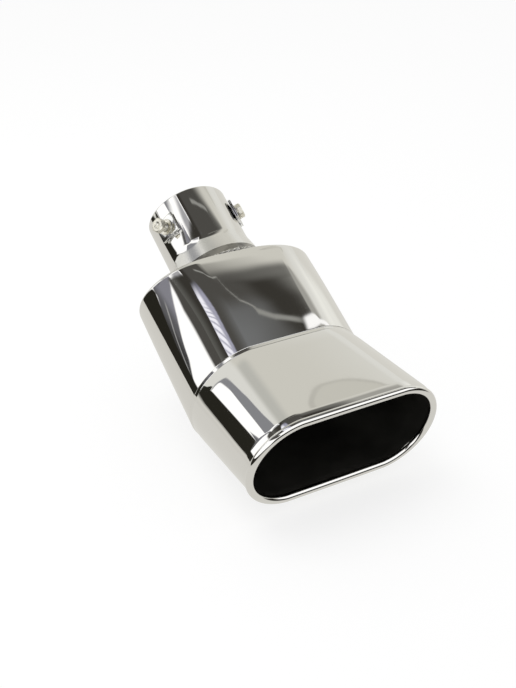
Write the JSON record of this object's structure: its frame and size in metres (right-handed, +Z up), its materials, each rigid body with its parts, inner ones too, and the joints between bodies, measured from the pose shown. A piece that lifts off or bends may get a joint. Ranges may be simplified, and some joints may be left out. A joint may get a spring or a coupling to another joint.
{
  "type": "exhaust tip",
  "caption": "Flat-oval exhaust tip with a mitred bend, a rolled outlet lip and a round clamp-on inlet neck.",
  "frame": {"origin": "centre of the inlet neck's mouth, on the neck's axis", "axes": "+X across the tip towards its right-hand side as seen from behind the car, -Y out of the outlet, +Z up; the neck's axis points out of its mouth along +Y and +Z, 30 degrees above level"},
  "size_m": [0.144, 0.2496, 0.1508],
  "materials": {
    "polished_steel": "mirror polished stainless steel",
    "weld_metal": "rough weld bead",
    "clip_steel": "smooth sheet",
    "screw_steel": "zinc plated"
  },
  "bodies": {
    "root": {"inlet_neck": "polished_steel", "neck_weld": "weld_metal", "rear_shell": "polished_steel", "front_shell": "polished_steel", "clip_left": "clip_steel", "clip_right": "clip_steel", "clip_bottom": "clip_steel", "washer_left": "screw_steel", "washer_right": "screw_steel", "washer_bottom": "screw_steel", "screw_left": "screw_steel", "screw_right": "screw_steel", "screw_bottom": "screw_steel"}
  },
  "joints": []
}
